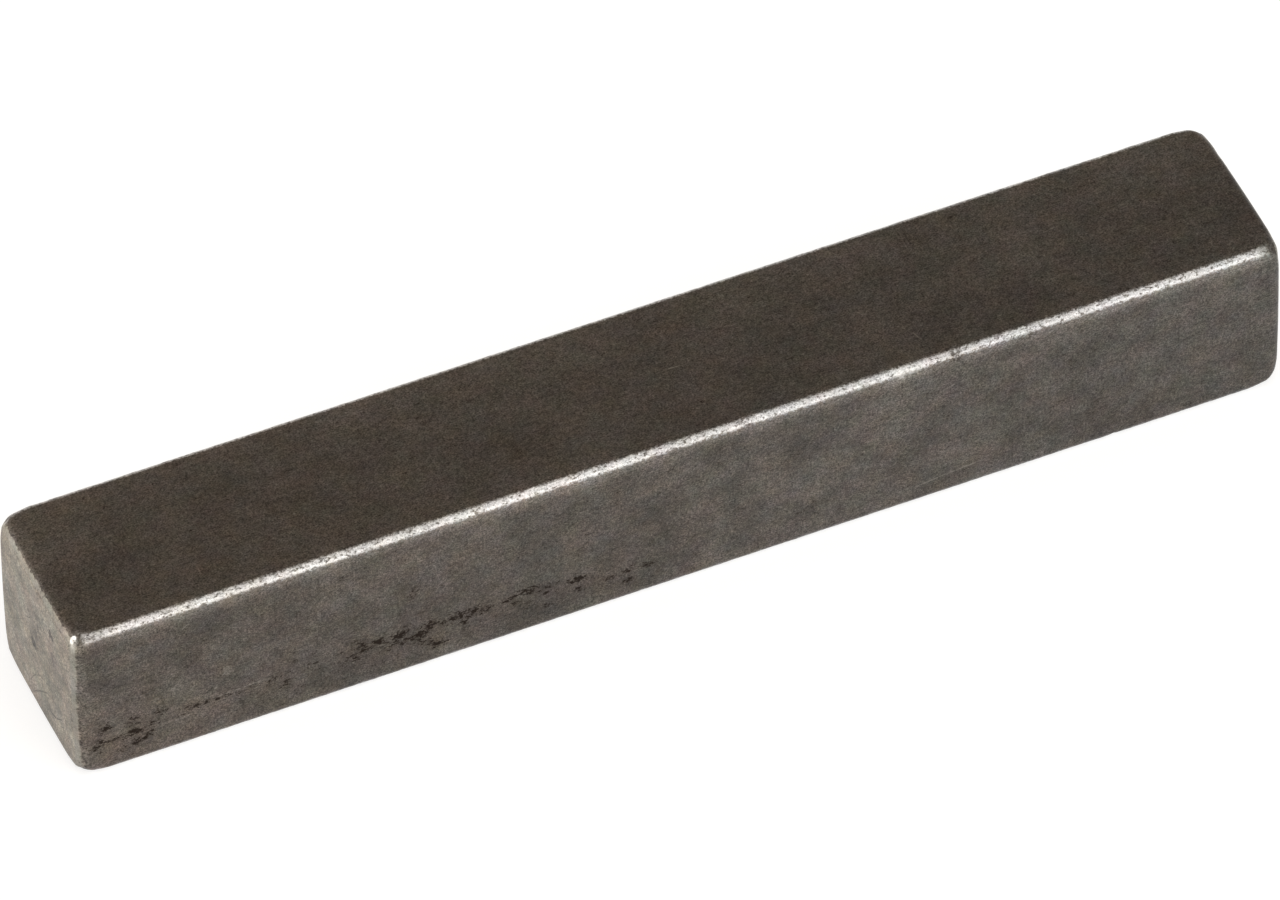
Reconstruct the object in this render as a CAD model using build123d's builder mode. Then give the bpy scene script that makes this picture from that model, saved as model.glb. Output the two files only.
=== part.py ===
from build123d import *
from itertools import product
from math import acos, hypot, sqrt, tan
import os

# Square parallel key: the bar of key steel that sits half in a shaft's keyway and half in a hub's
# and carries the torque across its two upright flanks. It is one solid, cut from drawn square bar
# and tumbled, which breaks its edges, blunts its corners and crowns its cut ends.
#
# +X runs along the key and +Z up from the shaft seat to the hub face. The origin is the centre of
# the shaft seat.

# Driving dimensions, in millimetres
key_width = 6.0  # across the drive flanks, the fit in both keyways
key_height = 6.0  # shaft seat to hub face
key_length = 40.0  # over the crowns of both ends
edge_radius = 0.35  # every edge, long or at an end
corner_flat = 0.11  # inscribed radius of the flat that is worn on each corner
end_crown = 0.1  # how far the middle of an end stands proud of its corners

# An end is part of a sphere through its four corners and its middle
half_diagonal = hypot(key_width, key_height) / 2
crown_radius = (half_diagonal**2 + end_crown**2) / (2 * end_crown)

# A corner's flat lies square to the diagonal of its three faces, and the fillets that border it
# take up their own setback beside what is left of it
diagonal_tilt = acos(1 / sqrt(3))
facet_radius = corner_flat + edge_radius * tan(diagonal_tilt / 2)
corner_depth = sqrt(2) * facet_radius

with BuildPart() as parallel_key:
    with BuildSketch(Plane.YZ.offset(-key_length / 2)):
        Rectangle(key_width, key_height, align=(Align.CENTER, Align.MIN))
    extrude(amount=key_length)

    # Crown each end with a sphere whose seam faces away from it
    for side_x, seam_turn in ((-1, 0), (1, 180)):
        centre = (side_x * (key_length / 2 - crown_radius), 0, key_height / 2)
        with Locations(Location(centre, (0, 0, seam_turn))):
            Sphere(crown_radius, mode=Mode.INTERSECT)

    # Blunt the eight corners
    for side_x, side_y, side_z in product((-1, 1), repeat=3):
        corner = Vector(
            side_x * (key_length / 2 - end_crown),
            side_y * key_width / 2,
            (1 + side_z) * key_height / 2,
        )
        diagonal = Vector(side_x, side_y, side_z).normalized()
        facet = Plane(origin=corner - diagonal * corner_depth, z_dir=diagonal)
        split(bisect_by=facet, keep=Keep.BOTTOM)

    # Break every edge, the borders of the corner flats with them
    fillet(parallel_key.edges(), radius=edge_radius)

parallel_key.part.label = "parallel_key"

os.makedirs("parts", exist_ok=True)
export_step(parallel_key.part, "parts/parallel_key.step")
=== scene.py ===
import math
import bpy
from mathutils import Matrix, Vector


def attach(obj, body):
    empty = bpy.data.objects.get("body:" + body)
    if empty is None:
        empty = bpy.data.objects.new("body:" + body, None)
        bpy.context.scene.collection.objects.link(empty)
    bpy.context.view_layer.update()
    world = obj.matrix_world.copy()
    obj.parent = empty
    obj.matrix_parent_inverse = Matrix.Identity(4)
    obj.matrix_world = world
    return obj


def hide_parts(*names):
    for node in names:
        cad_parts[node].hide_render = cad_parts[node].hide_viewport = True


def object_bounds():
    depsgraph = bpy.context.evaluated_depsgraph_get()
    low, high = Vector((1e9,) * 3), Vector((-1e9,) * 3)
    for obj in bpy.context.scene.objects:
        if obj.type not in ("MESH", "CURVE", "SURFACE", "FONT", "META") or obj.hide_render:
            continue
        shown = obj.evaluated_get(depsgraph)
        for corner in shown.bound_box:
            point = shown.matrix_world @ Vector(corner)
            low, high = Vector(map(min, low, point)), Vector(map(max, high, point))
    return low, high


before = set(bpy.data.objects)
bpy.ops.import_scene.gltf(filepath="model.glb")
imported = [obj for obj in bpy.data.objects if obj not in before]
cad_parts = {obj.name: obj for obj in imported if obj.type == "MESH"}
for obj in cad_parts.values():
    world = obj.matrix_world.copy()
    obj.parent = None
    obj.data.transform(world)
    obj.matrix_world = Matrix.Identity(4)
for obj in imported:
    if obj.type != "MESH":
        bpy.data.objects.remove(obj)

mm = 0.001
cadLow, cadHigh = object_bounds()
keySize = cadHigh - cadLow
keyMiddle = (cadHigh + cadLow) / 2

# Where the bar's left, front and top faces lie, in millimetres like every place on the steel
keyLeft = cadLow.x / mm
keyFront = cadLow.y / mm
keyTop = cadHigh.z / mm


# Node helpers, for the mesh tree and the materials alike

def feed(tree, socket, value):
    if isinstance(value, bpy.types.NodeSocket):
        tree.links.new(value, socket)
    else:
        socket.default_value = value


def addNode(tree, kind, inputs=None, **settings):
    node = tree.nodes.new(kind)
    for name, value in settings.items():
        setattr(node, name, value)
    for name, value in (inputs or {}).items():
        feed(tree, node.inputs[name], value)
    return node


def calc(tree, operation, *values):
    node = addNode(tree, "ShaderNodeMath", operation=operation)
    for socket, value in zip(node.inputs, values):
        feed(tree, socket, value)
    return node.outputs[0]


def add(tree, total, *others):
    for other in others:
        total = calc(tree, "ADD", total, other)
    return total


def minus(tree, total, *others):
    for other in others:
        total = calc(tree, "SUBTRACT", total, other)
    return total


def times(tree, total, *others):
    for other in others:
        total = calc(tree, "MULTIPLY", total, other)
    return total


def larger(tree, first, second):
    return calc(tree, "MAXIMUM", first, second)


def calcVector(tree, operation, *values):
    node = addNode(tree, "ShaderNodeVectorMath", operation=operation)
    places = (0, 3) if operation == "SCALE" else (0, 1, 2)  # its factor is the fourth socket
    for place, value in zip(places, values):
        feed(tree, node.inputs[place], value)
    scalar = operation in ("LENGTH", "DISTANCE", "DOT_PRODUCT")
    return node.outputs["Value" if scalar else "Vector"]


def fade(tree, value, start, end, atStart=0.0, atEnd=1.0):
    node = addNode(tree, "ShaderNodeMapRange", {
        "Value": value, "From Min": start, "From Max": end, "To Min": atStart, "To Max": atEnd,
    }, interpolation_type="SMOOTHSTEP")
    return node.outputs["Result"]


def noise(tree, place, scale, detail=2.0, roughness=0.5, distortion=0.0, output=0):
    node = addNode(tree, "ShaderNodeTexNoise", {
        "Vector": place, "Scale": scale, "Detail": detail, "Roughness": roughness,
        "Distortion": distortion,
    })
    return node.outputs[output]


def joinXyz(tree, x, y, z):
    return addNode(tree, "ShaderNodeCombineXYZ", {"X": x, "Y": y, "Z": z}).outputs[0]


def splitXyz(tree, vector):
    return addNode(tree, "ShaderNodeSeparateXYZ", {"Vector": vector}).outputs


# The key: a square bar whose edges and corners are rounded by tumbling

keyBar = {
    "Length": keySize.x,
    "Width": keySize.y,
    "Height": keySize.z,
    "Edge Radius": 0.33 * mm,
    "Corner Radius": 0.58 * mm,  # at the very corner
    "Corner Reach": 1.1 * mm,  # where it has come down to the edge radius
    "End Crown": 0.075 * mm,  # how far an end's middle stands proud of its corners
    "Waviness": 0.006 * mm,  # of the flat faces
    "Wave Scale": 250.0,  # how many to a metre, as the chatter's
    "Edge Chatter": 0.03 * mm,  # unevenness of the rounded edges
    "Chatter Scale": 3000.0,
    "Cells Along": 700,
    "Cells Across": 32,
    "Seed": 4.0,
}

cellGather = (0.3, 0.8, 0.8)  # how strongly the cells are drawn to the edges, in x, y and z

# Small knocks: x, y and z in millimetres from the middle of the seat, radius and depth
keyKnocks = [
    (9.05, -2.86, 5.92, 0.20, 0.10),
    (11.5, -2.95, 5.82, 0.13, 0.05),
    (-8.95, -2.82, 5.96, 0.13, 0.05),
    (6.4, -2.95, 5.80, 0.10, 0.03),
    (-15.2, -2.84, 5.95, 0.12, 0.03),
    (-20.0, -0.35, 5.85, 0.25, 0.06),
    (-19.98, 1.1, 5.88, 0.22, 0.05),
    (20.0, 1.6, 5.9, 0.20, 0.05),
    (3.1, 2.95, 5.85, 0.15, 0.05),
    (-6.2, 2.9, 0.1, 0.16, 0.06),
    (14.3, -2.9, 0.1, 0.14, 0.05),
    (19.95, -0.8, 0.12, 0.2, 0.06),
]


def layCells(tree, size, half):
    # A cube of cells from -1 to 1, gathered towards its edges, and folded into one eighth of the bar
    along = add(tree, size["Cells Along"], 1.0)
    across = add(tree, size["Cells Across"], 1.0)
    cube = addNode(tree, "GeometryNodeMeshCube", {
        "Size": (2.0, 2.0, 2.0), "Vertices X": along, "Vertices Y": across, "Vertices Z": across,
    })
    start = tree.nodes.new("GeometryNodeInputPosition").outputs[0]
    wave = calcVector(tree, "SINE", calcVector(tree, "SCALE", start, math.pi))
    gather = calcVector(tree, "MULTIPLY", wave, tuple(share / math.pi for share in cellGather))
    gathered = calcVector(tree, "ADD", start, gather)
    side = calcVector(tree, "SIGN", gathered)
    place = calcVector(tree, "MULTIPLY", calcVector(tree, "ABSOLUTE", gathered), half)
    return cube.outputs["Mesh"], side, place


def roundEdges(tree, size, half, place):
    # The radius grows from the edges to each corner
    cornerGap = calcVector(tree, "DISTANCE", half, place)
    radius = fade(tree, cornerGap, 0.0, size["Corner Reach"], size["Corner Radius"], size["Edge Radius"])
    coreHalf = calcVector(tree, "SUBTRACT", half, joinXyz(tree, radius, radius, radius))
    core = calcVector(tree, "MINIMUM", place, coreHalf)
    outward = calcVector(tree, "NORMALIZE", calcVector(tree, "SUBTRACT", place, core))
    rounded = calcVector(tree, "ADD", core, calcVector(tree, "SCALE", outward, radius))
    return rounded, outward


def crownEnds(tree, size, half, rounded):
    # The ends are drawn in towards their rims, over a stretch as long as the bar is wide
    x, y, z = splitXyz(tree, rounded)
    _, halfWidth, halfHeight = splitXyz(tree, half)
    endX = times(tree, size["Length"], 0.5)
    pull = fade(tree, x, minus(tree, endX, size["Width"]), endX, 0.0, size["End Crown"])
    offAxis = joinXyz(tree, 0.0, y, z)
    cornerOffAxis = joinXyz(tree, 0.0, halfWidth, halfHeight)
    share = calc(tree, "DIVIDE", calcVector(tree, "DOT_PRODUCT", offAxis, offAxis),
                 calcVector(tree, "DOT_PRODUCT", cornerOffAxis, cornerOffAxis))
    return calcVector(tree, "SUBTRACT", rounded, joinXyz(tree, times(tree, pull, share), 0.0, 0.0))


def dentBar(tree, size, place, edgeWear):
    # Depth of the unevenness: inwards on the faces, either way round the edges, and the knocks
    seed = joinXyz(tree, times(tree, size["Seed"], 0.1), 0.0, 0.0)  # a tenth of a metre along for each
    seeded = calcVector(tree, "ADD", place, seed)
    broad = times(tree, noise(tree, seeded, size["Wave Scale"], detail=2.0), size["Waviness"])
    chatter = noise(tree, seeded, size["Chatter Scale"], detail=3.0, roughness=0.6)
    chatter = times(tree, minus(tree, chatter, 0.5), size["Edge Chatter"])
    depth = add(tree, broad, times(tree, chatter, edgeWear))
    for x, y, z, radius, knockDepth in keyKnocks:
        gap = calcVector(tree, "DISTANCE", place, (x * mm, y * mm, z * mm))
        depth = add(tree, depth, fade(tree, gap, 0.0, radius * mm, knockDepth * mm, 0.0))
    return depth


def buildBarTree(material):
    tree = bpy.data.node_groups.new("tumbledBar", "GeometryNodeTree")
    interface = tree.interface
    interface.new_socket("Geometry", in_out="INPUT", socket_type="NodeSocketGeometry")
    for name, value in keyBar.items():
        kind = "NodeSocketInt" if isinstance(value, int) else "NodeSocketFloat"
        interface.new_socket(name, in_out="INPUT", socket_type=kind)
    interface.new_socket("Geometry", in_out="OUTPUT", socket_type="NodeSocketGeometry")
    size = tree.nodes.new("NodeGroupInput").outputs
    half = calcVector(tree, "SCALE", joinXyz(tree, size["Length"], size["Width"], size["Height"]), 0.5)
    flow, side, place = layCells(tree, size, half)
    rounded, outward = roundEdges(tree, size, half, place)
    crowned = calcVector(tree, "MULTIPLY", crownEnds(tree, size, half, rounded), side)
    smooth = calcVector(tree, "ADD", crowned, tuple(keyMiddle))
    normal = calcVector(tree, "MULTIPLY", outward, side)

    # How far the surface faces an end or a flank, and its wear: 0 on a flat, 1 half way round an edge
    endCut, flankCut, upCut = splitXyz(tree, outward)
    steepest = larger(tree, endCut, larger(tree, flankCut, upCut))
    edgeWear = fade(tree, steepest, 1.0, math.sqrt(0.5))
    depth = dentBar(tree, size, smooth, edgeWear)
    dented = calcVector(tree, "SUBTRACT", smooth, calcVector(tree, "SCALE", normal, depth))

    for name, value in (("edgeWear", edgeWear), ("endCut", endCut), ("flankCut", flankCut)):
        stored = {"Geometry": flow, "Name": name, "Value": value}
        flow = addNode(tree, "GeometryNodeStoreNamedAttribute", stored,
                       data_type="FLOAT", domain="POINT").outputs[0]
    flow = addNode(tree, "GeometryNodeSetPosition", {"Geometry": flow, "Position": dented}).outputs[0]
    flow = addNode(tree, "GeometryNodeSetShadeSmooth", {"Geometry": flow}).outputs[0]
    flow = addNode(tree, "GeometryNodeRealizeInstances", {"Geometry": flow}).outputs[0]
    flow = addNode(tree, "GeometryNodeSetMaterial", {"Geometry": flow, "Material": material}).outputs[0]
    addNode(tree, "NodeGroupOutput", {"Geometry": flow})
    return tree


def buildKey(material):
    tree = buildBarTree(material)
    carrier = bpy.data.objects.new("keyCarrier", bpy.data.meshes.new("keyCarrier"))
    bpy.context.scene.collection.objects.link(carrier)
    modifier = carrier.modifiers.new("tumbledBar", "NODES")
    modifier.node_group = tree
    for item in tree.interface.items_tree:
        if item.in_out == "INPUT" and item.name in keyBar:
            modifier[item.identifier] = keyBar[item.name]
    shown = carrier.evaluated_get(bpy.context.evaluated_depsgraph_get())
    mesh = bpy.data.meshes.new_from_object(shown)
    mesh.name = "keyBody"
    carrier.modifiers.remove(modifier)
    bpy.data.objects.remove(carrier)
    key = bpy.data.objects.new("keyBody", mesh)
    bpy.context.scene.collection.objects.link(key)
    return key


# Steel: brown-grey scale on the drawn faces, paler cut ends, bright worn edges, with painted light and shade
# over the faces and a painted glint on the left front corner

keySteel = {
    "drawn": (0.1048, 0.0932, 0.0820, 1.0),
    "cut": (0.231, 0.206, 0.167, 1.0),
    "rim": (0.248, 0.235, 0.205, 1.0),
    "bright": (0.447, 0.443, 0.440, 1.0),
    "glintAndPolish": (0.66, 0.65, 0.635, 1.0),
    "rust": (0.070, 0.052, 0.040, 1.0),
    "grime": (0.0125, 0.0068, 0.0035, 1.0),
    "pale": (0.26, 0.24, 0.21, 1.0),
}

# How the surface itself is made. Here and below, two or four numbers are a ramp: where it starts
# and ends, and its value at each if that isn't 0 and 1
steelSurface = {
    "drawnOut": (0.87, 1.0, 1.0),  # the noises are stretched a little along the key
    "shake": 0.5,  # millimetres by which the edges of marks are shaken
    "shakeScale": 9.0,
    "onFlank": (0.6, 0.9),  # by flankCut
    "onTop": (5.6, 5.9),  # by z
    "atLeft": (-18.0, -12.0, 1.0, 0.0),  # by x, as the next
    "atRight": (15.0, 19.0),
    "roughness": (0.3, 0.7, 0.40, 0.50),  # by the grain
    "wornPolish": 0.10,  # how much smoother the worn edges are
    "grainRelief": 0.7,
    "fineRelief": 0.3,
    "bumpStrength": 0.4,
    "bumpDepth": 0.05 * mm,
}

# Noise on the steel: how many to a millimetre, detail, roughness,
# and how far it lightens or darkens a flank, the top and an end
steelNoise = {
    "broad": (0.3, 2.0, 0.5, 0.85, 0.55, 0.60),
    "patches": (0.9, 2.0, 0.6, 0.85, 0.50, 1.15),
    "mottle": (2.8, 3.0, 0.65, 0.86, 0.72, 1.35),
    "grain": (8.0, 2.0, 0.7, 1.95, 1.52, 1.80),
    "fine": (20.0, 1.0, 0.7, 2.60, 2.20, 2.50),
}


def mixColor(tree, factor, first, second, mode="MIX"):
    node = addNode(tree, "ShaderNodeMix", data_type="RGBA", blend_type=mode)
    for place, value in zip((0, 6, 7), (factor, first, second)):  # the factor and the two colours
        feed(tree, node.inputs[place], value)
    return node.outputs[2]


def swing(tree, value, share):
    # A noise about 0.5 made a factor about 1
    return add(tree, times(tree, minus(tree, value, 0.5), share), 1.0)


def stretched(tree, spot, factors):
    return calcVector(tree, "MULTIPLY", spot["place"], factors)


def patchMask(tree, place, centre, reach, solid):
    # 1 out to the solid share of the reach, 0 beyond the reach
    away = calcVector(tree, "DIVIDE", calcVector(tree, "SUBTRACT", place, centre), reach)
    return fade(tree, calcVector(tree, "LENGTH", away), solid, 1.0, 1.0, 0.0)


def readSpot(tree):
    # What every layer reads: the place in millimetres, the bar's own attributes and the noises
    place = calcVector(tree, "SCALE", tree.nodes.new("ShaderNodeTexCoord").outputs["Object"], 1 / mm)
    x, y, z = splitXyz(tree, place)
    spot = {"place": place, "x": x, "y": y, "z": z}
    for name in ("edgeWear", "endCut", "flankCut"):
        spot[name] = addNode(tree, "ShaderNodeAttribute", attribute_name=name).outputs["Fac"]
    drawnOut = stretched(tree, spot, steelSurface["drawnOut"])
    for name, (scale, detail, roughness, *_) in steelNoise.items():
        spot[name] = noise(tree, drawnOut, scale, detail, roughness)
    shake = steelSurface["shake"]
    jolt = noise(tree, place, steelSurface["shakeScale"], detail=2.0, roughness=0.6, output="Color")
    centred = calcVector(tree, "SUBTRACT", place, (shake / 2, shake / 2, shake / 2))
    spot["shaken"] = calcVector(tree, "MULTIPLY_ADD", jolt, (shake, shake, shake), centred)
    spot["onFlank"] = fade(tree, spot["flankCut"], *steelSurface["onFlank"])
    spot["onTop"] = fade(tree, z, *steelSurface["onTop"])
    spot["atLeft"] = fade(tree, x, *steelSurface["atLeft"])
    spot["atRight"] = fade(tree, x, *steelSurface["atRight"])
    return spot


# Cut ends: how far they run out over their rims, raggedly on top, softly down the sides
# and hardly at all on the right
cutEnds = {
    "raggedness": (0.0, 0.1, 0.0, 0.3),  # by edgeWear
    "runOutStart": (0.1, 0.4, 0.69, 0.53),  # by flankCut, from the top rim to the side rims
    "runOutEnd": (0.1, 0.4, 0.76, 0.78),
    "rightStart": 0.70,
    "rightEnd": 0.85,
    "rim": (0.96, 0.999, 1.0, 0.0),  # by endCut
}


def paintFaces(tree, spot):
    ragged = add(tree, spot["mottle"], minus(tree, spot["grain"], 1.0))
    ragged = times(tree, ragged, fade(tree, spot["edgeWear"], *cutEnds["raggedness"]))
    start = fade(tree, spot["flankCut"], *cutEnds["runOutStart"])
    start = larger(tree, start, times(tree, spot["atRight"], cutEnds["rightStart"]))
    end = fade(tree, spot["flankCut"], *cutEnds["runOutEnd"])
    end = larger(tree, end, times(tree, spot["atRight"], cutEnds["rightEnd"]))
    spot["isEnd"] = fade(tree, add(tree, spot["endCut"], ragged), start, end)
    spot["isRim"] = times(tree, spot["isEnd"], fade(tree, spot["endCut"], *cutEnds["rim"]))
    cut = mixColor(tree, spot["isRim"], keySteel["cut"], keySteel["rim"])
    return mixColor(tree, spot["isEnd"], keySteel["drawn"], cut)


def byFace(tree, spot, onDrawn, onEnd):
    # One value on the drawn faces, another on the cut ends
    return fade(tree, spot["isEnd"], 0.0, 1.0, onDrawn, onEnd)


# Bright wear along the long edges, pitted, starting just short of the left end; the dark gap there before
# the corner glint is painted shade, and a faint lighter band on the flank below the top edge is a painted
# sheen
edgeStrip = {
    "raggedness": 0.35,
    "upperSide": (0.06, 0.49),  # by flankCut, as the next
    "lowerSide": (0.83, 0.96, 1.0, 0.0),
    "onEdge": (0.0, 0.1),  # by edgeWear
    "offEnds": (0.15, 0.4, 1.0, 0.0),  # by endCut
    # Painted shade: the strip stops short of the left end, leaving a dark gap before the corner glint
    "leftGap": (-19.78, -19.38),  # by x, as the next two
    "leftFade": (-19.4, -18.2, 0.70, 1.0),
    "rightFade": (18.9, 19.7, 1.0, 0.3),
    # Painted sheen: a faint lighter band on the flank just below the top edge
    "flankSheen": (5.5, 5.68, 0.0, 0.05),  # by z
    "pitStretch": (0.7, 1.0, 1.0),
    "pitScale": 11.0,
    "pits": (0.50, 0.68, 1.0, 0.1),
}

# A painted highlight on the left corners, the front one most, each with a painted halo, placed by the way
# the corner faces. A facing is endCut and flankCut
cornerGlint = {
    "spotFacing": (0.67, 0.31, 0.0),
    "spot": (0.12, 0.23, 1.0, 0.0),  # by the distance from that facing, as the halo's
    "spotAbove": (5.48, 5.58),  # by z, as the halo's
    "haloFacing": (0.72, 0.45, 0.0),
    "halo": (0.05, 0.32, 0.4, 0.0),
    "haloAbove": (5.3, 5.7),
    "rearShare": (-2.0, 0.0, 1.0, 0.2),  # by y
}


def glintMask(tree, spot):
    facing = joinXyz(tree, spot["endCut"], spot["flankCut"], 0.0)
    masks = []
    for name in ("spot", "halo"):
        away = calcVector(tree, "DISTANCE", facing, cornerGlint[name + "Facing"])
        above = fade(tree, spot["z"], *cornerGlint[name + "Above"])
        masks.append(times(tree, fade(tree, away, *cornerGlint[name]), above))
    atFront = fade(tree, spot["y"], *cornerGlint["rearShare"])
    return times(tree, larger(tree, *masks), times(tree, spot["atLeft"], atFront))


def paintWear(tree, spot, color):
    ragged = minus(tree, add(tree, spot["grain"], spot["fine"]), 1.0)
    ragged = times(tree, ragged, edgeStrip["raggedness"])
    tilt = add(tree, spot["flankCut"], ragged)
    worn = times(tree, fade(tree, tilt, *edgeStrip["upperSide"]), fade(tree, tilt, *edgeStrip["lowerSide"]))
    worn = times(tree, worn, fade(tree, spot["edgeWear"], *edgeStrip["onEdge"]))
    worn = times(tree, worn, fade(tree, spot["endCut"], *edgeStrip["offEnds"]))
    gap = fade(tree, add(tree, spot["x"], ragged), *edgeStrip["leftGap"])
    worn = times(tree, worn, times(tree, gap, fade(tree, spot["x"], *edgeStrip["leftFade"])))
    worn = times(tree, worn, fade(tree, spot["x"], *edgeStrip["rightFade"]))
    sheen = times(tree, spot["onFlank"], fade(tree, spot["z"], *edgeStrip["flankSheen"]))
    worn = larger(tree, worn, sheen)
    pitPlace = stretched(tree, spot, edgeStrip["pitStretch"])
    pits = noise(tree, pitPlace, edgeStrip["pitScale"], detail=2.0, roughness=0.7)
    worn = times(tree, worn, fade(tree, pits, *edgeStrip["pits"]))
    color = mixColor(tree, worn, color, keySteel["bright"])
    glint = glintMask(tree, spot)
    # The mask carries both the real wear and the painted glint
    spot["worn"] = larger(tree, worn, glint)
    return mixColor(tree, glint, color, keySteel["glintAndPolish"])


# Painted light and shade: each face is a little lighter towards its edges nearest the lamps, the front flank
# darker low down, the end's top rim and the right end's rims darker
faceShade = {
    "flankTop": (5.3, 5.7, 0.0, 0.43),  # by z, as the next two
    "flankRise": (0.0, 6.0, -0.07, 0.09),
    "flankFoot": (0.3, 0.8, 0.08, 0.0),
    "besideLeft": (-19.75, -19.2, 0.18, 0.0),  # by x
    "topSides": (1.9, 2.7, -0.01, 0.05),  # by the distance from the middle line
    "topAcross": (-1.2, 2.6, -0.06, 0.09),  # by y
    "topAlong": (-20.0, 20.0, 0.03, -0.04),  # by x
    "endTop": (4.8, 5.9, 0.0, 0.18),  # by z
    "endFront": (-2.45, -2.7, 0.0, 0.05),  # by y, as the next
    "endRear": (1.2, 2.6, 0.0, 0.04),
    "topRim": (0.75, 0.97, 0.18, 0.0),  # by endCut
    "offSideRims": (0.1, 0.3, 1.0, 0.0),  # by flankCut
    "rightRim": (0.2, 0.7, 0.0, 0.2),  # by endCut
    "wornCalm": 0.3,  # how much less of the noise the worn edges show
    "rimCalm": 0.6,
}

# Darker patches of the left end: y, z, reach and depth
endPatches = [
    (-1.7, 3.2, 2.0, 0.20),
    (0.2, 3.5, 0.8, 0.14),
]

# Red and blue drift apart from patch to patch. Pairs are for the drawn faces and for the ends
steelTint = {
    "scale": 1.1,
    "detail": (4.0, 2.0),
    "roughness": (0.65, 0.45),
    "drift": (0.36, 0.342),
    "blueShare": (1.0, 0.65),
    "wornShare": 0.5,
    "lean": (-20.0, 20.0, -0.018, 0.018),  # by x: browner at the left end, greyer at the right
    "blueLean": 0.8,
    "warmCorner": 0.03,  # browner still on the front flank's lower left
    "warmReach": (9.0, 1.0, 4.0),
    "warmFoot": (1.5, 3.5, 0.008, 0.0),  # by z
}


# Painted light and shade: lighter and darker bands over the flank, top and end, and painted shade on the
# right rims
def paintLightAndShade(tree, spot):
    x, y, z = spot["x"], spot["y"], spot["z"]
    besideLeft = fade(tree, x, *faceShade["besideLeft"])
    onFlank = add(tree, fade(tree, z, *faceShade["flankTop"]), fade(tree, z, *faceShade["flankRise"]),
                  besideLeft, fade(tree, z, *faceShade["flankFoot"]))
    onTop = add(tree, fade(tree, calc(tree, "ABSOLUTE", y), *faceShade["topSides"]),
                fade(tree, y, *faceShade["topAcross"]), fade(tree, x, *faceShade["topAlong"]), besideLeft)
    onEnd = add(tree, fade(tree, z, *faceShade["endTop"]), fade(tree, y, *faceShade["endFront"]),
                fade(tree, y, *faceShade["endRear"]))
    topRim = times(tree, spot["isRim"], fade(tree, spot["endCut"], *faceShade["topRim"]))
    topRim = times(tree, topRim, fade(tree, spot["flankCut"], *faceShade["offSideRims"]))
    onEnd = minus(tree, onEnd, topRim)
    for centreY, centreZ, reach, depth in endPatches:
        centre = (keyLeft, centreY, centreZ)
        darker = patchMask(tree, spot["place"], centre, (1.0, reach, reach), solid=0.0)
        onEnd = minus(tree, onEnd, times(tree, darker, depth))
    shade = 1.0
    for lift, where in ((onFlank, "onFlank"), (onTop, "onTop"), (onEnd, "isEnd")):
        shade = add(tree, shade, times(tree, lift, spot[where]))
    rightRim = times(tree, fade(tree, spot["endCut"], *faceShade["rightRim"]), spot["atRight"])
    return minus(tree, shade, rightRim)


def driftTint(tree, spot):
    detail = byFace(tree, spot, *steelTint["detail"])
    roughness = byFace(tree, spot, *steelTint["roughness"])
    drift = noise(tree, spot["place"], steelTint["scale"], detail, roughness, output="Color")
    red, _, blue = splitXyz(tree, drift)
    amount = byFace(tree, spot, *steelTint["drift"])
    amount = times(tree, amount, fade(tree, spot["worn"], 0.0, 1.0, 1.0, steelTint["wornShare"]))
    blueAmount = times(tree, amount, byFace(tree, spot, *steelTint["blueShare"]))
    corner = (keyLeft, keyFront, 0.0)
    warm = patchMask(tree, spot["place"], corner, steelTint["warmReach"], solid=0.0)
    warm = times(tree, warm, steelTint["warmCorner"])
    warm = add(tree, warm, fade(tree, spot["z"], *steelTint["warmFoot"]))
    lean = fade(tree, spot["x"], *steelTint["lean"])
    lean = minus(tree, lean, times(tree, warm, spot["onFlank"]))
    red = minus(tree, swing(tree, red, amount), lean)
    blue = add(tree, swing(tree, blue, blueAmount), times(tree, lean, steelTint["blueLean"]))
    return joinXyz(tree, red, 1.0, blue)


def shadeSteel(tree, spot, color):
    shade = paintLightAndShade(tree, spot)
    calm = minus(tree, 1.0, times(tree, spot["worn"], faceShade["wornCalm"]))
    calm = minus(tree, calm, times(tree, spot["isRim"], faceShade["rimCalm"]))
    for name, (*_, onFlank, onTop, onEnd) in steelNoise.items():
        share = byFace(tree, spot, fade(tree, spot["onTop"], 0.0, 1.0, onFlank, onTop), onEnd)
        shade = times(tree, shade, swing(tree, spot[name], times(tree, calm, share)))
    tint = calcVector(tree, "SCALE", driftTint(tree, spot), shade)
    return mixColor(tree, 1.0, color, tint, "MULTIPLY")


# Dried oil on the front flank: ragged flecks drawn out along the key, with a brown haze round them
driedOil = {
    "stretch": (0.5, 1.0, 1.0),
    "clumpScale": 4.0,
    "fleckScale": 11.0,
    "hazeCentre": (-10.5, keyFront, 1.55),
    "hazeReach": (10.5, 0.4, 1.0),
    "hazeThickness": 0.25,
    "fleckDepth": 0.4,  # how far a fleck reaches off the flank, in millimetres
    "clumpShare": 0.5,  # how much the clumps add to a stain, as against its own noise
    "oilShare": 0.18,
    "soaked": (0.60, 0.69, 0.0, 0.95),
    "within": (0.0, 0.2),  # by how thick the oil lies
    "veinStretch": (0.45, 1.0, 1.0),
    "veinScale": 8.0,
    "veins": (0.0, 0.04, 1.0, 0.0),
    "veinClumps": 3.0,
    "veinWetness": (1.1, 1.8, 0.0, 0.85),
    "rustShare": 0.25,  # of brown under the stains
}

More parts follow.
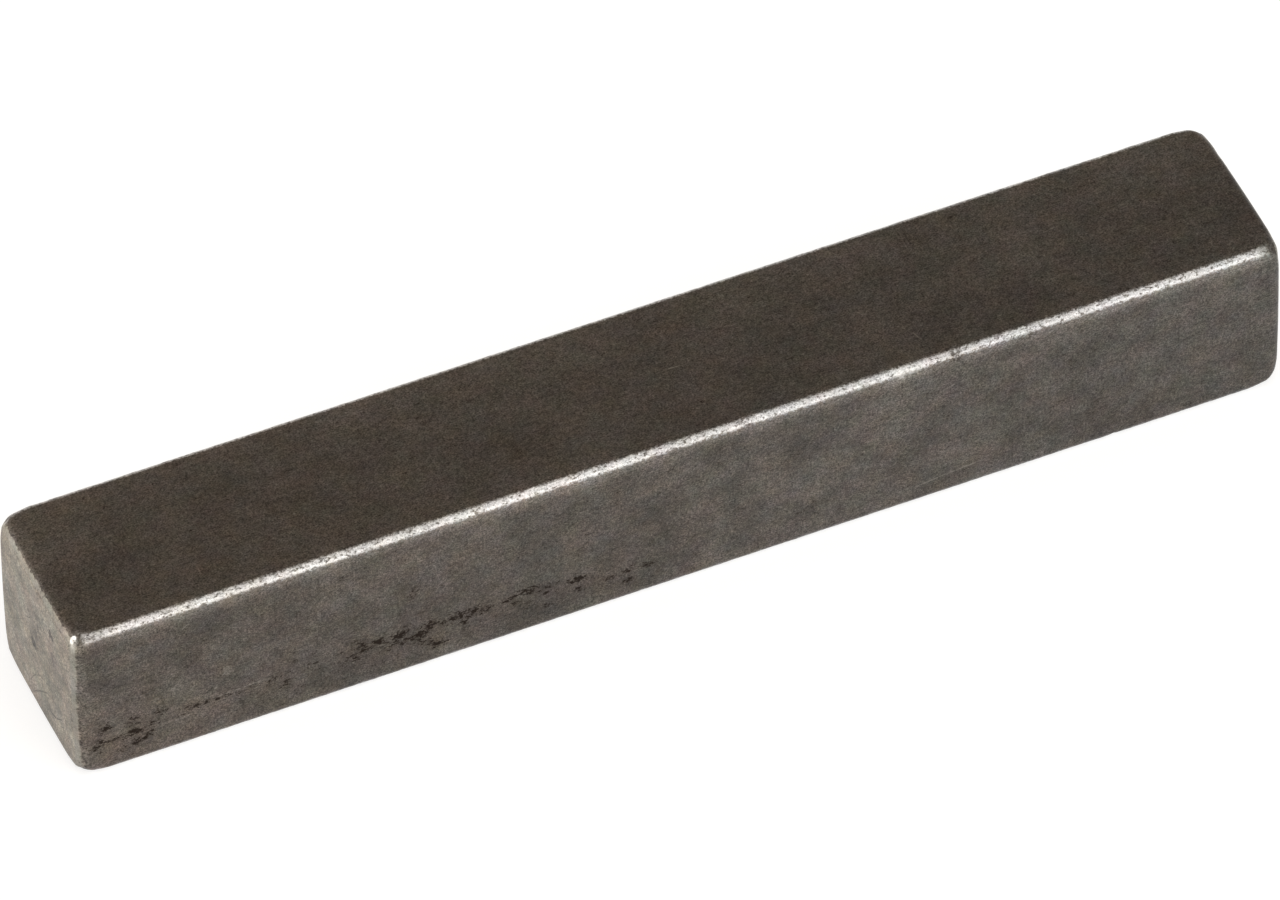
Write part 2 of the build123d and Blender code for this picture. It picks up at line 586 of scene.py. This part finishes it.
# Its flecks: x and z from the middle of the seat, half length, half height and how thick they lie
oilFlecks = [
    (-19.10, 1.95, 0.42, 0.36, 0.90),
    (-19.25, 1.25, 0.70, 0.45, 0.70),
    (-18.65, 1.25, 0.60, 0.30, 0.80),
    (-18.08, 1.40, 0.40, 0.28, 1.00),
    (-18.06, 1.86, 0.46, 0.26, 0.95),
    (-17.98, 0.98, 0.58, 0.28, 0.95),
    (-18.45, 0.78, 0.30, 0.22, 0.70),
    (-17.60, 1.35, 0.50, 0.55, 0.60),
    (-17.20, 1.92, 0.36, 0.26, 0.55),
    (-16.65, 1.56, 0.36, 0.34, 0.50),
    (-16.25, 1.60, 0.50, 0.26, 0.55),
    (-15.85, 1.60, 0.45, 0.22, 0.55),
    (-15.30, 1.62, 0.55, 0.16, 0.50),
    (-11.00, 1.52, 0.50, 0.20, 0.80),
    (-10.50, 1.65, 0.45, 0.20, 0.90),
    (-10.10, 1.76, 0.55, 0.28, 1.30),
    (-9.50, 1.76, 0.50, 0.28, 1.30),
    (-9.25, 1.45, 0.60, 0.22, 1.10),
    (-8.80, 1.50, 0.65, 0.22, 1.30),
    (-8.40, 1.75, 0.42, 0.32, 1.40),
    (-7.95, 1.68, 0.35, 0.20, 1.00),
    (-7.60, 1.74, 0.55, 0.30, 1.40),
    (-7.30, 1.42, 0.32, 0.18, 1.00),
    (-7.00, 1.74, 0.42, 0.18, 0.90),
    (-6.50, 1.66, 0.50, 0.16, 0.70),
    (-8.20, 0.84, 0.42, 0.26, 1.20),
    (-8.50, 1.08, 0.45, 0.24, 0.80),
    (-6.50, 1.50, 0.60, 0.18, 0.60),
    (-5.80, 1.75, 0.45, 0.24, 0.90),
    (-5.25, 1.84, 0.60, 0.22, 1.10),
    (-5.57, 1.50, 0.25, 0.18, 0.90),
    (-4.60, 1.66, 0.70, 0.30, 0.85),
    (-4.75, 1.05, 0.60, 0.30, 0.50),
    (-3.62, 1.62, 0.60, 0.20, 1.10),
    (-3.58, 1.20, 0.25, 0.32, 0.80),
    (-2.45, 1.22, 0.50, 0.16, 0.90),
    (-1.95, 1.28, 0.45, 0.22, 0.85),
    (-1.88, 0.84, 0.32, 0.13, 0.65),
    (-1.20, 1.25, 0.50, 0.20, 0.70),
    (-8.95, 3.32, 0.28, 0.24, 0.80),
]


def spreadOil(tree, spot):
    haze = patchMask(tree, spot["place"], driedOil["hazeCentre"], driedOil["hazeReach"], solid=0.0)
    oily = times(tree, haze, driedOil["hazeThickness"])
    for x, z, halfLength, halfHeight, thickness in oilFlecks:
        reach = (halfLength, driedOil["fleckDepth"], halfHeight)
        patch = patchMask(tree, spot["shaken"], (x, keyFront, z), reach, solid=0.1)
        oily = larger(tree, oily, times(tree, patch, thickness))
    return oily


def paintOil(tree, spot, color):
    oily = spreadOil(tree, spot)
    drawnOut = stretched(tree, spot, driedOil["stretch"])
    clumps = noise(tree, drawnOut, driedOil["clumpScale"], detail=1.0, roughness=0.6)
    flecks = noise(tree, drawnOut, driedOil["fleckScale"], detail=3.0, roughness=0.75)
    soaked = add(tree, flecks, times(tree, minus(tree, clumps, 0.5), driedOil["clumpShare"]))
    soaked = add(tree, soaked, times(tree, oily, driedOil["oilShare"]))
    stain = times(tree, fade(tree, soaked, *driedOil["soaked"]), fade(tree, oily, *driedOil["within"]))

    # Thin veins join the flecks where it is wettest
    veinPlace = stretched(tree, spot, driedOil["veinStretch"])
    veins = noise(tree, veinPlace, driedOil["veinScale"], detail=2.0, roughness=0.6, distortion=1.0)
    veins = fade(tree, calc(tree, "ABSOLUTE", minus(tree, veins, 0.5)), *driedOil["veins"])
    wet = add(tree, oily, swing(tree, clumps, driedOil["veinClumps"]))
    stain = larger(tree, stain, times(tree, veins, fade(tree, wet, *driedOil["veinWetness"])))
    color = mixColor(tree, times(tree, oily, driedOil["rustShare"]), color, keySteel["rust"])
    return mixColor(tree, stain, color, keySteel["grime"])


# Faces that carry marks: which two axes run along them, which one leaves them, and where they lie
markedFaces = {
    "top": (0, 1, 2, keyTop),
    "front": (0, 2, 1, keyFront),
    "leftEnd": (1, 2, 0, keyLeft),
}

# Small marks: face, place on it, half length and half height in millimetres, tone and strength
steelMarks = [
    ("leftEnd", -1.28, 4.76, 0.26, 0.24, "grime", 0.90),
    ("leftEnd", 0.18, 3.02, 0.36, 0.28, "grime", 1.00),
    ("leftEnd", -0.05, 3.50, 0.16, 0.45, "grime", 0.45),
    ("leftEnd", 1.05, 5.07, 0.10, 0.08, "grime", 0.60),
    ("leftEnd", 1.72, 5.25, 0.22, 0.12, "grime", 0.30),
    ("leftEnd", 0.77, 3.49, 0.09, 0.09, "grime", 0.50),
    ("leftEnd", -0.85, 1.10, 0.10, 0.12, "grime", 0.45),
    ("leftEnd", -0.37, 5.90, 0.18, 0.16, "grime", 0.60),
    ("leftEnd", 0.30, 3.34, 0.16, 0.10, "grime", 0.45),
    ("leftEnd", 0.52, 3.00, 0.14, 0.12, "grime", 0.35),
    ("leftEnd", -2.16, 0.70, 0.14, 0.12, "grime", 0.40),
    ("leftEnd", -1.74, 3.26, 0.22, 0.14, "grime", 0.35),
    ("leftEnd", -1.68, 2.90, 0.18, 0.14, "grime", 0.30),
    ("leftEnd", -0.18, 3.98, 0.14, 0.12, "grime", 0.30),
    ("leftEnd", 0.52, 0.58, 0.16, 0.12, "grime", 0.35),
    ("leftEnd", -2.45, 5.10, 0.30, 0.18, "grime", 0.25),
    ("leftEnd", -1.14, 5.42, 0.22, 0.14, "pale", 0.50),
    ("leftEnd", -0.95, 4.25, 0.18, 0.16, "pale", 0.45),
    ("leftEnd", 0.85, 3.48, 0.16, 0.12, "pale", 0.35),
    ("front", 9.05, 5.80, 0.13, 0.14, "grime", 0.80),
    ("front", 9.10, 5.62, 0.30, 0.07, "grime", 0.45),
    ("front", -8.95, 5.86, 0.10, 0.10, "grime", 0.70),
    ("front", -8.30, 5.90, 0.08, 0.07, "grime", 0.50),
    ("front", -0.35, 5.66, 0.35, 0.07, "grime", 0.55),
    ("front", 11.50, 5.72, 0.22, 0.08, "grime", 0.60),
    ("front", 2.20, 5.86, 0.16, 0.10, "grime", 0.45),
    ("front", 17.45, 5.80, 0.10, 0.12, "grime", 0.45),
    # This bright patch on the edge strip shares the colour of the painted corner glint
    ("front", 7.30, 5.84, 0.60, 0.22, "glintAndPolish", 0.70),
    ("front", -7.20, 4.75, 0.12, 0.10, "grime", 0.55),
    ("front", -0.45, 5.00, 0.14, 0.10, "grime", 0.45),
    ("front", -14.90, 4.30, 0.16, 0.08, "grime", 0.50),
    ("front", -8.00, 3.25, 0.12, 0.10, "grime", 0.45),
    ("front", -15.05, 2.68, 0.18, 0.24, "pale", 0.80),
    ("front", -15.42, 2.16, 0.12, 0.10, "pale", 0.75),
    ("front", -16.80, 2.62, 0.16, 0.14, "pale", 0.60),
    ("front", -17.35, 2.45, 0.16, 0.10, "pale", 0.60),
    ("front", -16.15, 2.45, 0.14, 0.10, "pale", 0.60),
    ("top", -18.60, 1.36, 0.10, 0.10, "pale", 0.55),
    ("top", -3.10, -0.34, 0.10, 0.08, "pale", 0.40),
    ("top", 4.00, -2.10, 0.09, 0.09, "pale", 0.50),
    ("top", 11.80, -0.06, 0.12, 0.07, "pale", 0.40),
    ("top", 17.70, 1.50, 0.09, 0.09, "pale", 0.45),
]

# Fine scratches and cracks: face, two ends in millimetres, how far they bow, half width, tone and strength
scratches = [
    ("top", (7.80, -1.15), (8.28, -2.10), 0.12, 0.035, "pale", 0.45),
    ("top", (0.60, 0.05), (1.45, 0.00), 0.02, 0.035, "pale", 0.70),
    ("top", (13.55, 0.55), (14.15, 0.62), 0.03, 0.035, "pale", 0.70),
    ("front", (7.40, 0.72), (10.10, 0.98), 0.03, 0.035, "pale", 0.70),
    ("front", (-15.60, 1.68), (-13.60, 1.76), 0.02, 0.035, "pale", 0.70),
    ("front", (8.30, 4.45), (9.60, 4.72), 0.10, 0.035, "pale", 0.60),
    ("front", (3.00, 1.95), (3.55, 1.35), 0.04, 0.035, "pale", 0.60),
    ("front", (-16.45, 5.05), (-16.15, 5.30), 0.02, 0.035, "pale", 0.70),
    ("leftEnd", (0.60, 0.46), (-0.92, 1.82), -0.06, 0.040, "grime", 0.75),
    ("leftEnd", (0.75, 0.81), (0.01, 1.78), -0.06, 0.040, "grime", 0.70),
    ("leftEnd", (0.05, 1.76), (-0.62, 2.09), -0.05, 0.035, "grime", 0.70),
    ("leftEnd", (-0.80, 1.06), (-1.40, 1.22), 0.04, 0.070, "grime", 0.90),
    ("leftEnd", (-1.33, 1.20), (-1.90, 1.68), 0.04, 0.045, "grime", 0.80),
    ("leftEnd", (2.24, 2.15), (0.76, 3.56), 0.03, 0.035, "grime", 0.35),
    ("leftEnd", (-1.18, 4.97), (-1.46, 4.61), 0.02, 0.090, "grime", 1.00),
    ("leftEnd", (-0.20, 4.22), (-0.30, 3.90), 0.02, 0.060, "grime", 0.90),
    ("leftEnd", (0.30, 3.14), (0.00, 2.88), 0.02, 0.090, "grime", 1.00),
    ("leftEnd", (0.86, 3.62), (0.30, 4.02), 0.04, 0.035, "grime", 0.60),
    ("leftEnd", (-0.80, 1.95), (-0.45, 2.35), 0.02, 0.035, "pale", 0.60),
]

# What all marks share, and the loose pits and specks between them
markMake = {
    "depth": 0.4,  # how far a mark reaches off its face, in millimetres
    "scratchDepth": (0.1, 0.3, 1.0, 0.0),
    "scratchEnds": (0.3, 0.5, 1.0, 0.0),  # by the distance from its middle, as a share of its length
    "grimeBreaks": (0.35, 0.55, 0.7, 1.0),  # by the grain, as the next
    "paleBreaks": (0.4, 0.6, 0.3, 1.0),
    "pitScale": 5.0,
    "pits": (0.57, 0.66, 0.0, 0.65),
    "pittedCentre": (keyLeft, -0.5, 3.2),
    "pittedReach": (1.0, 3.0, 2.8),
    "speckScale": 1.5,
    "specks": (0.02, 0.09, 0.5, 0.0),
}


def onFace(face, u, v, level):
    # A face's own u, v and level put back in the order x, y, z
    along, across, out, _ = markedFaces[face]
    place = [0.0, 0.0, 0.0]
    place[along], place[across], place[out] = u, v, level
    return tuple(place)


def scratchMask(tree, spot, face, start, end, bow, halfWidth):
    along, across, out, level = markedFaces[face]
    axes = (spot["x"], spot["y"], spot["z"])
    length = math.dist(start, end)
    ux, uy = (end[0] - start[0]) / length, (end[1] - start[1]) / length
    fromStart = joinXyz(tree, minus(tree, axes[along], start[0]), minus(tree, axes[across], start[1]), 0.0)
    alongIt = calc(tree, "DIVIDE", calcVector(tree, "DOT_PRODUCT", fromStart, (ux, uy, 0.0)), length)
    aside = calcVector(tree, "DOT_PRODUCT", fromStart, (-uy, ux, 0.0))
    arch = times(tree, alongIt, minus(tree, 1.0, alongIt), 4.0 * bow)  # a parabola as high as the bow
    offLine = calc(tree, "ABSOLUTE", minus(tree, aside, arch))
    offMiddle = calc(tree, "ABSOLUTE", minus(tree, alongIt, 0.5))
    offFace = calc(tree, "ABSOLUTE", minus(tree, axes[out], level))
    mask = fade(tree, offLine, 0.0, halfWidth, 1.0, 0.0)
    mask = times(tree, mask, fade(tree, offMiddle, *markMake["scratchEnds"]))
    return times(tree, mask, fade(tree, offFace, *markMake["scratchDepth"]))


def paintMarks(tree, spot, color):
    masks = {"grime": 0.0, "pale": 0.0, "glintAndPolish": 0.0}
    for face, u, v, halfLength, halfHeight, tone, strength in steelMarks:
        centre = onFace(face, u, v, markedFaces[face][3])
        reach = onFace(face, halfLength, halfHeight, markMake["depth"])
        mask = patchMask(tree, spot["shaken"], centre, reach, solid=0.2)
        masks[tone] = larger(tree, masks[tone], times(tree, mask, strength))
    pits = noise(tree, spot["place"], markMake["pitScale"], detail=3.0, roughness=0.75)
    pits = fade(tree, pits, *markMake["pits"])
    pitted = patchMask(tree, spot["place"], markMake["pittedCentre"], markMake["pittedReach"], solid=0.3)
    masks["grime"] = larger(tree, masks["grime"], times(tree, pits, pitted))
    for face, start, end, bow, halfWidth, tone, strength in scratches:
        mask = scratchMask(tree, spot, face, start, end, bow, halfWidth)
        masks[tone] = larger(tree, masks[tone], times(tree, mask, strength))
    cells = addNode(tree, "ShaderNodeTexVoronoi", {
        "Vector": spot["place"], "Scale": markMake["speckScale"],
    })
    specks = fade(tree, cells.outputs["Distance"], *markMake["specks"])
    masks["pale"] = larger(tree, masks["pale"], specks)

    # The grain breaks them up
    grimeBreaks = fade(tree, spot["grain"], *markMake["grimeBreaks"])
    paleBreaks = fade(tree, spot["grain"], *markMake["paleBreaks"])
    for tone, breaks in (("grime", grimeBreaks), ("pale", paleBreaks), ("glintAndPolish", paleBreaks)):
        color = mixColor(tree, times(tree, masks[tone], breaks), color, keySteel[tone])
    return color


def buildSteel():
    material = bpy.data.materials.new("tumbledKeySteel")
    material.use_nodes = True
    tree = material.node_tree
    shader = next(node for node in tree.nodes if node.type == "BSDF_PRINCIPLED")
    spot = readSpot(tree)
    color = paintFaces(tree, spot)
    color = paintWear(tree, spot, color)
    color = shadeSteel(tree, spot, color)
    color = paintOil(tree, spot, color)
    color = paintMarks(tree, spot, color)
    feed(tree, shader.inputs["Base Color"], color)
    shader.inputs["Metallic"].default_value = 1.0
    rough = fade(tree, spot["grain"], *steelSurface["roughness"])
    rough = minus(tree, rough, times(tree, spot["worn"], steelSurface["wornPolish"]))
    feed(tree, shader.inputs["Roughness"], rough)
    relief = add(tree, times(tree, spot["grain"], steelSurface["grainRelief"]),
                 times(tree, spot["fine"], steelSurface["fineRelief"]))
    bump = addNode(tree, "ShaderNodeBump", {
        "Strength": steelSurface["bumpStrength"], "Distance": steelSurface["bumpDepth"], "Height": relief,
    })
    feed(tree, shader.inputs["Normal"], bump.outputs[0])
    return material


steel = buildSteel()
print("steel", len(steel.node_tree.nodes), "nodes")

key = buildKey(steel)
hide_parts("parallel_key")
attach(key, "root")
print("key body", len(key.data.polygons), "faces")

# Floor, light and camera

studio = {
    "floorSize": 2.0,
    "floorColor": (0.8, 0.8, 0.8, 1.0),
    "floorGlow": 0.70,  # what the camera and the metal see before the lit part is added
    "floorLit": (0.42, 0.42, 0.42, 1.0),
    "roomColor": (1.0, 0.90, 0.79, 1.0),
    "roomStrength": 0.535,
}

# Softboxes: direction, distance, width, height and radiance
softboxes = {
    "frontSoftbox": ((0.24, -0.66, 0.71), 0.6, 0.7, 1.0, 1.32),
    "leftPanel": ((-0.94, 0.0, 0.34), 0.55, 1.1, 0.35, 1.6),
}

# Where the camera stands round the key's middle, in degrees and metres
cameraStand = {
    "azimuth": -22.94,
    "elevation": 46.29,
    "roll": -1.22,
    "distance": 0.4856,
    "lens": 449.9,
    "right": 0.16 * mm,  # how far right of the view's middle the key's middle lies, and how far above it
    "up": 0.097 * mm,
    "clip": (0.01, 10.0),
}


def buildFloorMaterial():
    material = bpy.data.materials.new("paleFloor")
    material.use_nodes = True
    tree = material.node_tree
    tree.nodes.clear()
    plain = addNode(tree, "ShaderNodeBsdfDiffuse", {"Color": studio["floorColor"]}).outputs[0]
    lit = addNode(tree, "ShaderNodeBsdfDiffuse", {"Color": studio["floorLit"]}).outputs[0]
    glow = addNode(tree, "ShaderNodeEmission", {"Strength": studio["floorGlow"]}).outputs[0]
    seen = tree.nodes.new("ShaderNodeAddShader")
    tree.links.new(lit, seen.inputs[0])
    tree.links.new(glow, seen.inputs[1])
    rays = tree.nodes.new("ShaderNodeLightPath").outputs
    reflected = larger(tree, rays["Is Glossy Ray"], rays["Is Transmission Ray"])
    isSeen = larger(tree, rays["Is Camera Ray"], reflected)
    both = tree.nodes.new("ShaderNodeMixShader")
    for socket, value in zip(both.inputs, (isSeen, plain, seen.outputs[0])):
        tree.links.new(value, socket)
    addNode(tree, "ShaderNodeOutputMaterial", {"Surface": both.outputs[0]})
    return material


def buildFloor():
    half = studio["floorSize"] / 2
    mesh = bpy.data.meshes.new("studioFloor")
    corners = [(x * half, y * half, cadLow.z) for x, y in ((-1, -1), (1, -1), (1, 1), (-1, 1))]
    mesh.from_pydata(corners, [], [(0, 1, 2, 3)])
    mesh.materials.append(buildFloorMaterial())
    floor = bpy.data.objects.new("studioFloor", mesh)
    bpy.context.scene.collection.objects.link(floor)


def buildRoom():
    world = bpy.data.worlds.new("studioRoom")
    bpy.context.scene.world = world
    world.use_nodes = True
    tree = world.node_tree
    tree.nodes.clear()
    room = addNode(tree, "ShaderNodeBackground", {
        "Color": studio["roomColor"], "Strength": studio["roomStrength"],
    })
    addNode(tree, "ShaderNodeOutputWorld", {"Surface": room.outputs[0]})


def addSoftbox(name, direction, distance, width, height, radiance):
    data = bpy.data.lights.new(name, "AREA")
    data.shape = "RECTANGLE"
    data.size, data.size_y = width, height
    data.energy = radiance * math.pi * width * height
    lamp = bpy.data.objects.new(name, data)
    bpy.context.scene.collection.objects.link(lamp)
    direction = Vector(direction).normalized()
    lamp.location = keyMiddle + direction * distance
    lamp.rotation_mode = "QUATERNION"
    lamp.rotation_quaternion = direction.to_track_quat("Z", "Y")


def addCamera():
    azimuth, elevation, roll = (math.radians(cameraStand[name]) for name in ("azimuth", "elevation", "roll"))
    back = Vector((
        math.sin(azimuth) * math.cos(elevation),
        -math.cos(azimuth) * math.cos(elevation),
        math.sin(elevation),
    ))
    level = Vector((math.cos(azimuth), math.sin(azimuth), 0.0))
    right = level * math.cos(roll) + back.cross(level) * math.sin(roll)
    up = back.cross(right)
    data = bpy.data.cameras.new("camera")
    data.lens = cameraStand["lens"]
    data.clip_start, data.clip_end = cameraStand["clip"]
    camera = bpy.data.objects.new("camera", data)
    bpy.context.scene.collection.objects.link(camera)
    stand = keyMiddle + back * cameraStand["distance"]
    stand = stand - right * cameraStand["right"] - up * cameraStand["up"]
    camera.matrix_world = Matrix.Translation(stand) @ Matrix((right, up, back)).transposed().to_4x4()
    bpy.context.scene.camera = camera


buildFloor()
buildRoom()
for name, values in softboxes.items():
    addSoftbox(name, *values)
addCamera()
bpy.context.scene.view_settings.view_transform = "Standard"
print("studio ready")
